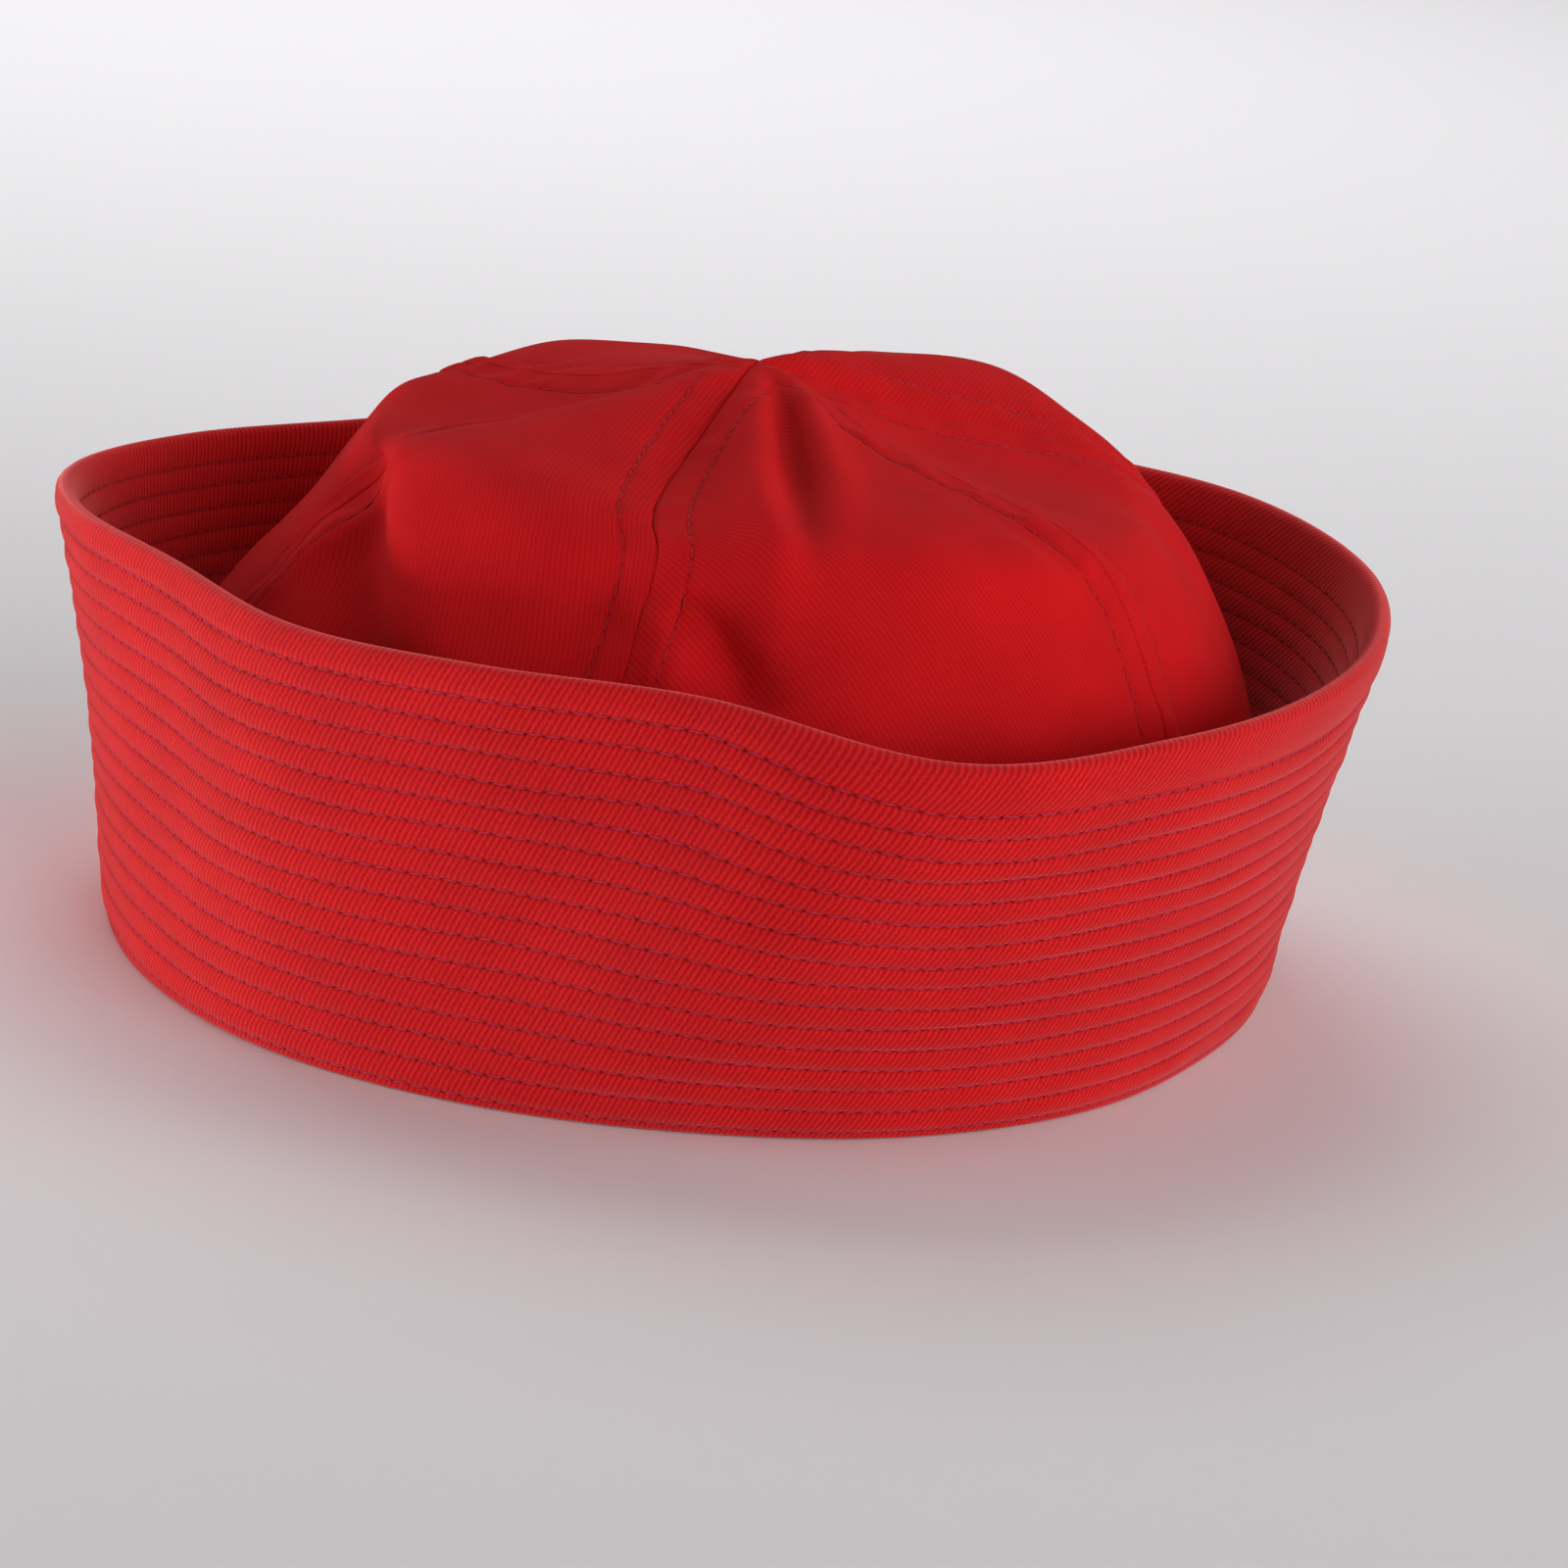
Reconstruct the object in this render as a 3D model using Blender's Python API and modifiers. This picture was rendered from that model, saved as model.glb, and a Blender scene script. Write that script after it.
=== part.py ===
"""Sailor cap: a crown of six twill gores with a quilted brim turned up all round.

Metres, +Z up, front towards -Y. The cap stands on the bottom fold of its brim at z = 0, and the
origin is the middle of its box in plan. A bearing is an angle in degrees round the cap, 0 at the
front and 90 at +X. The tables give millimetres and degrees.
"""
from collections import namedtuple
from math import atan2, copysign, cos, degrees, exp, hypot, log, pi, radians, sin

import bmesh
import bpy
from mathutils import Vector

MM = 0.001
UP = Vector((0.0, 0.0, 1.0))

# ---------------------------------------------------------------- driving sizes, in metres

FOOT_HALF_WIDTH = 0.0941     # to the outside of the brim's bottom fold, at the sides
FOOT_HALF_LENGTH = 0.0969    # the same, at the front and back
BRIM_WALL = 0.0030           # two plies of twill quilted over an interlining
BRIM_SLANT = 0.0645          # usual height of the brim, up its slope
FOLD_ROUND = 0.0008          # round of the bottom fold, next to the flat that it stands on
FOOT_BLEND = 0.15            # share of the brim over which its wall turns level with the foot
CROWN_WALL = 0.0012          # one ply of twill
PIECE_GAP = 0.0003           # between neighbouring pieces
SEAM_BAND = 0.0055           # from a crown seam to its topstitching, over the turned-in edge
SEAM_BAND_RISE = 0.0003      # how far the turned-in edge lifts the cloth
LOW_CROWN = 36.0             # height in millimetres over which the crown takes its own form

BRIM_STEPS = 90              # sections round the brim
BRIM_ROWS = 9                # rows of faces up each side of the brim
EDGE_STEPS = 4               # faces over the rolled edge
GORE_COLUMNS = 12
GORE_ROWS = 22
SHARP_ANGLE = radians(40.0)  # past which two faces meet at a sharp edge

# ---------------------------------------------------------------- the brim's sections

# bearing   where the section stands
# foot_out  how far the bottom fold stands outside its ellipse
# lean      slope of the brim away from upright, outwards
# slant     height of the brim, up its slope
# belly     how far the middle of the brim bows outwards
BrimSection = namedtuple("BrimSection", "bearing foot_out lean slant belly")
BRIM_SECTIONS = (
    BrimSection(0, 0.6, 12.5, 61.5, 0.5),
    BrimSection(20, 0.4, 12.2, 62.3, 0.3),
    BrimSection(40, -1.5, 12.9, 62.9, 0.0),
    BrimSection(60, -0.3, 12.5, 64.1, -1.0),
    BrimSection(80, 2.2, 11.0, 65.9, -1.3),
    BrimSection(100, 0.6, 9.8, 67.4, -1.2),
    BrimSection(120, -1.2, 8.2, 66.4, -1.0),
    BrimSection(140, -0.4, 8.0, 64.9, -0.6),
    BrimSection(160, 0.8, 9.1, 63.5, -0.4),
    BrimSection(180, 0.3, 8.1, 62.3, -0.4),
    BrimSection(200, -0.6, 7.3, 61.9, -0.6),
    BrimSection(220, -0.2, 9.6, 63.4, -1.0),
    BrimSection(240, 0.6, 10.0, 65.2, -1.3),
    BrimSection(260, -1.4, 7.3, 66.6, -1.3),
    BrimSection(280, -0.5, 0.3, 66.5, -1.3),
    BrimSection(300, 0.7, -0.1, 64.9, 0.8),
    BrimSection(320, 0.1, 0.7, 65.7, -1.0),
    BrimSection(340, -0.6, 3.2, 65.8, 0.4),
)

# Folds of the brim, each a soft ridge from its foot to its edge.
# foot_bearing, edge_bearing   where its line starts and ends
# foot_spread, edge_spread     half of its width there, in degrees
# bulge                        how far it stands out at mid height
BrimFold = namedtuple("BrimFold", "foot_bearing edge_bearing foot_spread edge_spread bulge")
BRIM_FOLDS = (
    BrimFold(-22.0, -8.0, 14.0, 8.0, 7.5),
)

# ---------------------------------------------------------------- the crown's sections

# height                   of the ring above the surface that the cap stands on
# half_width, half_length  of the ring, at the seams
# shift_x, shift_y         of its middle from the foot's
# puff                     how far the middle of a full gore stands out from its seams
CrownSection = namedtuple("CrownSection", "height half_width half_length shift_x shift_y puff")
CROWN_SECTIONS = (
    CrownSection(0.3, 90.7, 93.5, 0.0, 0.0, 0.0),
    CrownSection(12.0, 90.0, 92.8, 0.2, 0.0, 0.2),
    CrownSection(26.0, 88.5, 91.6, 1.2, 0.0, 0.5),
    CrownSection(41.0, 86.8, 90.0, 3.0, 0.2, 0.9),
    CrownSection(52.0, 82.0, 87.0, 5.0, -0.4, 1.2),
    CrownSection(62.0, 75.5, 81.0, 6.5, -0.9, 1.4),
    CrownSection(71.0, 69.5, 76.5, 6.6, -1.3, 1.6),
    CrownSection(78.5, 62.5, 72.0, 5.2, -1.6, 1.8),
    CrownSection(81.5, 56.5, 61.5, 3.6, -2.0, 2.2),
    CrownSection(83.2, 45.0, 46.5, 3.0, -2.3, 2.4),
    CrownSection(86.2, 29.5, 29.5, 3.3, -2.3, 2.2),
    CrownSection(90.5, 14.0, 14.0, 4.6, -2.1, 1.2),
    CrownSection(94.2, 1.2, 1.2, 4.8, -2.0, 0.0),
)

# The six panels.
# from_bearing, to_bearing   its two seams
# fullness                   its share of the puff, negative where it is pushed in
Gore = namedtuple("Gore", "name from_bearing to_bearing fullness")
GORES = (
    Gore("crown_gore_1", -34.5, 31.0, 1.0),
    Gore("crown_gore_2", 31.0, 90.0, -1.6),
    Gore("crown_gore_3", 90.0, 150.0, 2.6),
    Gore("crown_gore_4", 150.0, 210.0, 0.7),
    Gore("crown_gore_5", 210.0, 270.0, -1.5),
    Gore("crown_gore_6", 270.0, 325.5, 1.8),
)

# Folds of the crown, each a ridge, or a valley where its height is below 0.
# low_bearing, low_place     its lower end, as a bearing and a share of the way up the table
# high_bearing, high_place   its upper end
# crest                      share of the way from its lower to its upper end at which it stands out most
# spread                     half of its width, in millimetres
# height                     how far it stands out at its crest
CrownFold = namedtuple("CrownFold", "low_bearing low_place high_bearing high_place crest spread height")
CROWN_FOLDS = (
    CrownFold(-17.5, 0.53, -2.0, 0.99, 0.72, 2.4, -3.0),
    CrownFold(-14.0, 0.53, 10.0, 0.99, 0.68, 3.8, 2.6),
    CrownFold(-20.0, 0.40, -17.0, 0.99, 0.60, 4.5, 3.4),
    CrownFold(-19.0, 0.39, -29.5, 0.54, 0.42, 4.2, -3.8),
    CrownFold(-27.0, 0.34, -34.0, 0.52, 0.50, 4.5, 1.8),
    CrownFold(-41.0, 0.34, -41.0, 0.68, 0.50, 6.0, -2.4),
    CrownFold(-41.0, 0.26, -88.0, 0.70, 0.45, 8.0, 1.8),
    CrownFold(-52.0, 0.22, -102.0, 0.72, 0.40, 8.5, -6.2),
    CrownFold(-88.0, 0.30, -82.0, 0.66, 0.50, 4.0, 1.6),
    CrownFold(62.0, 0.28, 74.0, 0.80, 0.50, 9.0, -1.5),
    CrownFold(26.0, 0.48, 22.0, 0.74, 0.50, 4.5, -1.2),
    CrownFold(96.0, 0.36, 96.0, 0.66, 0.50, 6.0, 0.8),
    CrownFold(116.0, 0.46, 112.0, 0.86, 0.50, 9.0, 0.9),
    CrownFold(118.0, 0.20, 110.0, 0.50, 0.50, 7.0, -0.8),
    CrownFold(128.0, 0.78, 126.0, 0.98, 0.50, 6.0, 0.7),
    CrownFold(142.0, 0.56, 140.0, 0.82, 0.50, 6.0, 0.7),
    CrownFold(150.0, 0.30, 160.0, 0.70, 0.50, 8.0, -2.0),
    CrownFold(190.0, 0.44, 188.0, 0.84, 0.50, 12.0, 1.0),
    CrownFold(230.0, 0.28, 222.0, 0.74, 0.50, 8.0, 1.8),
)

# Lines of a gore's grid that follow a seam's band.
# column      the line, from 0 in the middle of the gore to 1 at the seam
# bands       its distance from the seam, in widths of the band
# widest      the most that this may be, as a share of half of the gore's width
BandColumn = namedtuple("BandColumn", "column bands widest")
BAND_COLUMNS = (
    BandColumn(0.8, 0.8, 0.3),
    BandColumn(0.6, 1.4, 0.5),
)

TWILL_RED = (0.552, 0.012, 0.015, 1.0)
TWILL_ROUGHNESS = 0.9


# ---------------------------------------------------------------- reading the tables

def smooth_between(before, start, end, after, part):
    """Value a part of the way from start to end, on a smooth curve through four rows."""
    slope = end - before
    bend = 2.0 * before - 5.0 * start + 4.0 * end - after
    twist = 3.0 * (start - end) + after - before
    return start + 0.5 * part * (slope + part * (bend + part * twist))


def brim_value(column, bearing):
    """A column of the brim's table at any bearing."""
    rows = len(BRIM_SECTIONS)
    place = (bearing % 360.0) / 360.0 * rows
    first = int(place)
    values = [getattr(BRIM_SECTIONS[(first + step) % rows], column) for step in (-1, 0, 1, 2)]
    return smooth_between(*values, place - first)


def crown_value(column, place):
    """A column of the crown's table at a place from 0, its lower edge, to 1, its top."""
    last = len(CROWN_SECTIONS) - 1
    row = place * last
    first = min(int(row), last - 1)
    values = [getattr(CROWN_SECTIONS[min(max(first + step, 0), last)], column) for step in (-1, 0, 1, 2)]
    return smooth_between(*values, row - first)


def soft_step(value):
    """0 below 0 and 1 above 1, with a smooth change between."""
    share = min(max(value, 0.0), 1.0)
    return share * share * (3.0 - 2.0 * share)


def turn_between(bearing, other):
    """Degrees from one bearing to another, between -180 and 180."""
    return (bearing - other + 180.0) % 360.0 - 180.0


# ---------------------------------------------------------------- brim

def foot_ring(bearing):
    """Point of the foot's ellipse at a bearing, and the level direction out of it."""
    angle = radians(bearing)
    point = Vector((FOOT_HALF_WIDTH * sin(angle), -FOOT_HALF_LENGTH * cos(angle), 0.0))
    outward = Vector((sin(angle) / FOOT_HALF_WIDTH, -cos(angle) / FOOT_HALF_LENGTH, 0.0)).normalized()
    return point, outward


def brim_bow(bearing, rise):
    """How far the brim bows outwards between its foot and its edge, in millimetres."""
    bow = brim_value("belly", bearing)
    for fold in BRIM_FOLDS:
        middle = fold.foot_bearing + rise * (fold.edge_bearing - fold.foot_bearing)
        spread = fold.foot_spread + rise * (fold.edge_spread - fold.foot_spread)
        bow += fold.bulge * exp(-(turn_between(bearing, middle) / spread) ** 2)
    return bow * sin(pi * min(rise, 1.0))


def brim_point(bearing, rise, depth):
    """Point of the brim: rise is 0 at its foot and 1 at its edge, depth goes in from its outer face."""
    point, outward = foot_ring(bearing)
    lean = radians(brim_value("lean", bearing))
    slope = brim_value("slant", bearing) * rise * MM
    reach = (brim_value("foot_out", bearing) + brim_bow(bearing, rise)) * MM + slope * sin(lean)
    tilt = lean * soft_step(rise / FOOT_BLEND)
    return point + outward * (reach - depth * cos(tilt)) + UP * (slope * cos(lean) + depth * sin(tilt))


def brim_outline():
    """Outline of the brim's wall as (rise, depth): up the outside, over the edge, down the inside."""
    radius = BRIM_WALL / 2.0
    low = FOLD_ROUND / BRIM_SLANT
    high = 1.0 - radius / BRIM_SLANT
    rises = [low + (high - low) * row / BRIM_ROWS for row in range(BRIM_ROWS)]
    outline = [(0.0, FOLD_ROUND)]
    outline += [(rise, 0.0) for rise in rises]
    for step in range(EDGE_STEPS + 1):
        angle = pi * step / EDGE_STEPS
        outline.append((high + radius * sin(angle) / BRIM_SLANT, radius - radius * cos(angle)))
    outline += [(rise, BRIM_WALL) for rise in reversed(rises)]
    outline.append((0.0, BRIM_WALL))
    return outline


def brim_mesh():
    """The wall's outline turned once round the cap, then each point put where its section has it."""
    shape = bmesh.new()
    points = [shape.verts.new((1.0 - depth, 0.0, rise)) for rise, depth in brim_outline()]
    edges = [shape.edges.new((points[i - 1], points[i])) for i in range(len(points))]
    bmesh.ops.spin(shape, geom=points + edges, cent=(0.0, 0.0, 0.0), axis=(0.0, 0.0, 1.0),
                   angle=2.0 * pi, steps=BRIM_STEPS, use_merge=True)
    for point in shape.verts:
        bearing = degrees(atan2(point.co.y, point.co.x))
        depth = 1.0 - hypot(point.co.x, point.co.y)
        point.co = brim_point(bearing, point.co.z, depth)
    bmesh.ops.recalc_face_normals(shape, faces=shape.faces)
    return shape


# ---------------------------------------------------------------- crown

def crown_ring(bearing, place):
    """Point of the crown's plain form, through the seams."""
    angle = radians(bearing)
    point, outward = foot_ring(bearing)
    foot_share = 1.0 - soft_step(crown_value("height", place) / LOW_CROWN)
    x = crown_value("shift_x", place) + crown_value("half_width", place) * sin(angle)
    y = crown_value("shift_y", place) - crown_value("half_length", place) * cos(angle)
    ring = Vector((x, y, crown_value("height", place))) * MM
    return ring + outward * (brim_value("foot_out", bearing) * foot_share * MM)


def crown_outward(bearing, place):
    """Direction square to the crown's plain form."""
    turn = 1.0
    climb = 0.01
    low, high = max(place - climb, 0.0), min(place + climb, 1.0)
    across = crown_ring(bearing + turn, place) - crown_ring(bearing - turn, place)
    along = crown_ring(bearing, high) - crown_ring(bearing, low)
    return across.cross(along).normalized()


def crown_radius(place):
    """Usual radius of the crown's ring at a place."""
    return (crown_value("half_width", place) + crown_value("half_length", place)) / 2.0 * MM


def half_arc_of(gore, place):
    """Half of a gore's width at a place, along its ring."""
    return crown_radius(place) * radians(gore.to_bearing - gore.from_bearing) / 2.0


def crown_fold_rise(bearing, place):
    """How far the crown's folds lift the cloth at a point."""
    rise = 0.0
    for fold in CROWN_FOLDS:
        along = (place - fold.low_place) / (fold.high_place - fold.low_place)
        if not 0.0 < along < 1.0:
            continue
        middle = fold.low_bearing + along * (fold.high_bearing - fold.low_bearing)
        offset = crown_radius(place) * radians(turn_between(bearing, middle))
        swell = sin(pi * along ** (log(0.5) / log(fold.crest)))
        rise += fold.height * swell * exp(-(offset / (fold.spread * MM)) ** 2)
    return rise * MM


def crown_point(gore, share, place):
    """Point on the outside of a gore: share runs from -1 to 1 between its seams."""
    half_arc = half_arc_of(gore, place)
    half_span = (gore.to_bearing - gore.from_bearing) / 2.0
    bearing = gore.from_bearing + half_span * (1.0 + share * (1.0 - PIECE_GAP / 2.0 / half_arc))
    puff = gore.fullness * crown_value("puff", place) * MM * (1.0 - share * share)
    from_seam = half_arc * (1.0 - abs(share))
    band = SEAM_BAND_RISE * (1.0 - soft_step((from_seam - SEAM_BAND) / SEAM_BAND + 0.5))
    band *= soft_step(crown_value("height", place) / LOW_CROWN)
    lift = puff + band + crown_fold_rise(bearing, place)
    return crown_ring(bearing, place) + crown_outward(bearing, place) * lift


def gore_share(gore, column, place):
    """Where a column of the grid lies between the seams, so that some lines follow each seam's band."""
    half_arc = half_arc_of(gore, place)
    marks = [(1.0, 1.0)]
    for line in BAND_COLUMNS:
        from_seam = min(SEAM_BAND * line.bands, half_arc * line.widest)
        marks.append((line.column, 1.0 - from_seam / half_arc))
    marks.append((0.0, 0.0))
    for (outer, outer_share), (inner, inner_share) in zip(marks, marks[1:]):
        if abs(column) >= inner:
            along = (abs(column) - inner) / (outer - inner)
            return copysign(inner_share + along * (outer_share - inner_share), column)


def gore_mesh(gore):
    """A flat grid of cloth laid over one sixth of the crown."""
    shape = bmesh.new()
    bmesh.ops.create_grid(shape, x_segments=GORE_COLUMNS, y_segments=GORE_ROWS, size=1.0)
    for point in shape.verts:
        place = (point.co.y + 1.0) / 2.0
        point.co = crown_point(gore, gore_share(gore, point.co.x, place), place)
    return shape


# ---------------------------------------------------------------- objects

def twill(name):
    """Red cotton twill, matt and without gloss."""
    material = bpy.data.materials.new(name)
    material.use_nodes = True
    surface = material.node_tree.nodes["Principled BSDF"]
    surface.inputs["Base Color"].default_value = TWILL_RED
    surface.inputs["Roughness"].default_value = TWILL_ROUGHNESS
    surface.inputs["Metallic"].default_value = 0.0
    material.diffuse_color = TWILL_RED
    return material


def add_piece(name, shape, material, cap, collection):
    """Makes an object of a shape, with its material, under the cap's empty."""
    mesh = bpy.data.meshes.new(name)
    shape.to_mesh(mesh)
    shape.free()
    mesh.materials.append(material)
    mesh.shade_smooth()
    mesh.set_sharp_from_angle(angle=SHARP_ANGLE)
    piece = bpy.data.objects.new(name, mesh)
    piece.parent = cap
    collection.objects.link(piece)
    return piece


def add_wall(piece, thickness):
    """Gives an open sheet its thickness, inwards from the outside of the cloth."""
    wall = piece.modifiers.new("cloth", "SOLIDIFY")
    wall.thickness = thickness
    wall.offset = -1.0
    wall.use_even_offset = True


def middle_in_plan(mesh):
    """Middle of a mesh's box, seen from above."""
    xs = [point.co.x for point in mesh.vertices]
    ys = [point.co.y for point in mesh.vertices]
    return Vector(((min(xs) + max(xs)) / 2.0, (min(ys) + max(ys)) / 2.0, 0.0))


def build():
    """The brim and the six gores, each an object of its own in the cap's collection."""
    for old in list(bpy.data.objects):
        bpy.data.objects.remove(old)
    collection = bpy.data.collections.new("sailor_cap")
    bpy.context.scene.collection.children.link(collection)
    cap = bpy.data.objects.new("cap_frame", None)
    collection.objects.link(cap)

    brim = add_piece("brim", brim_mesh(), twill("brim_twill"), cap, collection)
    for gore in GORES:
        panel = add_piece(gore.name, gore_mesh(gore), twill(f"{gore.name}_twill"), cap, collection)
        add_wall(panel, CROWN_WALL)

    # The brim leans out unevenly, so the foot isn't quite in the middle of the whole cap's box.
    cap.location = -middle_in_plan(brim.data)


build()
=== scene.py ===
"""Red sailor cap: a crown of six twill gores with a quilted brim turned up all round.

Metres, +Z up, front towards -Y. A bearing is an angle in degrees round the cap, 0 at the front and 90
at +X. The tables give millimetres and degrees, and say where the solids of the part lie, so that the
cloth made here lies there too.
"""

from collections import namedtuple
from math import cos, log, pi, radians, sin

import bmesh
import bpy
import numpy as np
from mathutils import Euler, Matrix, Vector


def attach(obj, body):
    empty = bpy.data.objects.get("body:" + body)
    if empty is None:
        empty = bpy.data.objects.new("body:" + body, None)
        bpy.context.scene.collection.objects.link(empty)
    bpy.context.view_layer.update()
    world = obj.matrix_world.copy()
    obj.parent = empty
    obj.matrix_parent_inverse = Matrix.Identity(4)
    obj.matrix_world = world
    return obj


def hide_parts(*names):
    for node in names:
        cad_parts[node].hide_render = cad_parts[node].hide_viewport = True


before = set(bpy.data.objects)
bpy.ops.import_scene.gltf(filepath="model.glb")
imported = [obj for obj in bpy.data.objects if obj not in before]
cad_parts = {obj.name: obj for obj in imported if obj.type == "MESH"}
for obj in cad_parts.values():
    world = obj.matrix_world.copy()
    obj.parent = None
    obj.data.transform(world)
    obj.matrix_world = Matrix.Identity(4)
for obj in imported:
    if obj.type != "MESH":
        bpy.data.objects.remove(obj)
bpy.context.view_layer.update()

MM = 0.001

# ---------------------------------------------------------------- driving sizes, in metres

FOOT_MIDDLE = (-0.0042, 0.0025, 0.0)   # middle of the brim's bottom fold, in plan
FOOT_HALF_WIDTH = 0.0941     # to the outside of the brim's bottom fold, at the sides
FOOT_HALF_LENGTH = 0.0969    # the same, at the front and back
BRIM_WALL = 0.0030           # two plies of twill quilted over an interlining
BRIM_SLANT = 0.0645          # usual height of the brim, up its slope
FOLD_ROUND = 0.0008          # round of the bottom fold, next to the flat that it stands on
FOOT_BLEND = 0.15            # share of the brim over which its wall turns level with the foot
CROWN_WALL = 0.0012          # one ply of twill
LOW_CROWN = 36.0             # height in millimetres over which the crown takes its own form
SEAM_GAP = 0.00004           # between two gores, at the bottom of their seam

# Cut and weave of the cloth.
BRIM_CUT_RADIUS = 0.79       # of the slight curve on which the brim's cloth is cut
BRIM_RIB_ANGLE = 60.0        # slope of the twill's ribs at the front, against the brim's rows
BRIM_RIB_PITCH = 0.86        # from rib to rib, in millimetres
CROWN_RIB_PITCH = 0.78       # the same on the crown

# Quilting of the brim.
STITCH_ROWS = 16             # the lowest is the stitching along the bottom fold
FIRST_ROW_RISE = 0.022       # rise of that lowest row, as a share of the brim's height
TOP_ROW_RISE = 0.905         # rise of the top row
ROW_WANDER = 0.00014         # how far a row strays from its line
ROW_WAVES = (3, 14)          # fewest and most waves of that straying, round the cap
CHANNEL_PUFF = 0.00052       # how far the cloth stands out between two rows
CHANNEL_ROUND = 0.65         # power of the sine across a channel: the less, the fuller
CHANNEL_UNEVEN = 0.25        # share of the puff by which it comes and goes along a channel
CHANNEL_WAVES = (5, 23)      # fewest and most waves of that, round the cap
CREASE_DEPTH = 0.00025       # how deep a row's thread pulls the cloth in
LINING_PUFF = 0.45           # share of the puff and the crease that shows on the brim's inner face
RIM_PUFF = 0.00035           # of the padded roll above the top row
RIM_ROUND = 0.8              # its power of the sine
STITCHES_ROUND = 218         # stitches in a row, about 2.8 mm each
ROW_SHIFT = 0.618            # from a row's first stitch to the next row's, as a share of a stitch

# Thread.
THREAD = 0.00034             # its diameter
ROWS_SUNK = 0.1              # share of it by which the brim's stitches lie in their cloth
TOPSTITCH_RAISED = 0.1       # share of it by which the crown's stitches stand off theirs
STITCH_REACH = (0.84, 0.92)  # shortest and longest, as a share of the way between two needle holes
STITCH_SLANT = 3.0           # how far a stitch usually turns from its row, in degrees
STITCH_SIDES = 5

# Seams of the crown.
SEAM_BAND = 0.0055           # from a seam to its topstitching, over the turned-in edge
SEAM_BAND_RISE = 0.0002      # how far the turned-in edge lifts the cloth
SEAM_BAND_END = 0.4          # share of the band over which that lift ends
SEAM_DEPTH = 0.0003          # of the groove where two gores meet
SEAM_HALF_WIDTH = 0.0003     # of that groove
TOPSTITCH_DEPTH = 0.0003     # how deep the topstitching pulls the cloth in
TOPSTITCH_HALF_WIDTH = 0.0007    # of the line that it pulls in
TOPSTITCH_LENGTH = 0.0027    # of one stitch
TOPSTITCH_SHIFT = 0.37       # share of a stitch by which they shift, up or down, beside a seam
TOPSTITCH_START = 0.06       # share of the way up the crown's table at which they start
TOPSTITCH_ROOM = 1.25        # half of a gore's width where they end, in widths of the band
SEAM_PUCKER = 0.00030        # how far the cloth of the band puckers between its stitches
PUCKER_MIDDLE = 0.6          # share of the band's width at which it puckers most
PUCKER_LENGTHS = (0.005, 0.014)      # shortest and longest wave of the puckers
CRUMPLE = 0.00035            # of the soft unevenness all over the crown
CRUMPLE_LENGTHS = (0.018, 0.045)     # its shortest and longest wave

# Fineness of the meshes.
BRIM_STEPS = 500             # faces round the brim
CHANNEL_STEPS = 6            # faces across a channel, outside
LINING_STEPS = 4             # the same, inside
RIM_STEPS = 8                # faces from the top row to where the edge rolls
EDGE_STEPS = 10              # faces over the edge
GORE_COLUMNS = 96            # faces from seam to seam
GORE_ROWS = 150              # faces from the foot to the top
GORE_CROWDING = 0.35         # how much closer together the columns are at the seams

# Seeds of the random waves and stitches. Rows, channels and gores add their own number.
ROW_SEED = 0
CHANNEL_SEED = 100
CRUMPLE_SEED = 3
PUCKER_SEED = 7
OUTER_ROWS_SEED = 1
INNER_ROWS_SEED = 2
TOPSTITCH_SEED = 10

# ---------------------------------------------------------------- the brim's sections

# bearing   where the section stands
# foot_out  how far the bottom fold stands outside its ellipse
# lean      slope of the brim away from upright, outwards
# slant     height of the brim, up its slope
# belly     how far the middle of the brim bows outwards
BrimSection = namedtuple("BrimSection", "bearing foot_out lean slant belly")
BRIM_SECTIONS = (
    BrimSection(0, 0.6, 12.5, 61.5, 0.5),
    BrimSection(20, 0.4, 12.2, 62.3, 0.3),
    BrimSection(40, -1.5, 12.9, 62.9, 0.0),
    BrimSection(60, -0.3, 12.5, 64.1, -1.0),
    BrimSection(80, 2.2, 11.0, 65.9, -1.3),
    BrimSection(100, 0.6, 9.8, 67.4, -1.2),
    BrimSection(120, -1.2, 8.2, 66.4, -1.0),
    BrimSection(140, -0.4, 8.0, 64.9, -0.6),
    BrimSection(160, 0.8, 9.1, 63.5, -0.4),
    BrimSection(180, 0.3, 8.1, 62.3, -0.4),
    BrimSection(200, -0.6, 7.3, 61.9, -0.6),
    BrimSection(220, -0.2, 9.6, 63.4, -1.0),
    BrimSection(240, 0.6, 10.0, 65.2, -1.3),
    BrimSection(260, -1.4, 7.3, 66.6, -1.3),
    BrimSection(280, -0.5, 0.3, 66.5, -1.3),
    BrimSection(300, 0.7, -0.1, 64.9, 0.8),
    BrimSection(320, 0.1, 0.7, 65.7, -1.0),
    BrimSection(340, -0.6, 3.2, 65.8, 0.4),
)

# Folds of the brim, each a soft ridge from its foot to its edge.
# foot_bearing, edge_bearing   where its line starts and ends
# foot_spread, edge_spread     half of its width there, in degrees
# bulge                        how far it stands out at mid height
BrimFold = namedtuple("BrimFold", "foot_bearing edge_bearing foot_spread edge_spread bulge")
BRIM_FOLDS = (
    BrimFold(-22.0, -8.0, 14.0, 8.0, 7.5),
)

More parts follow.
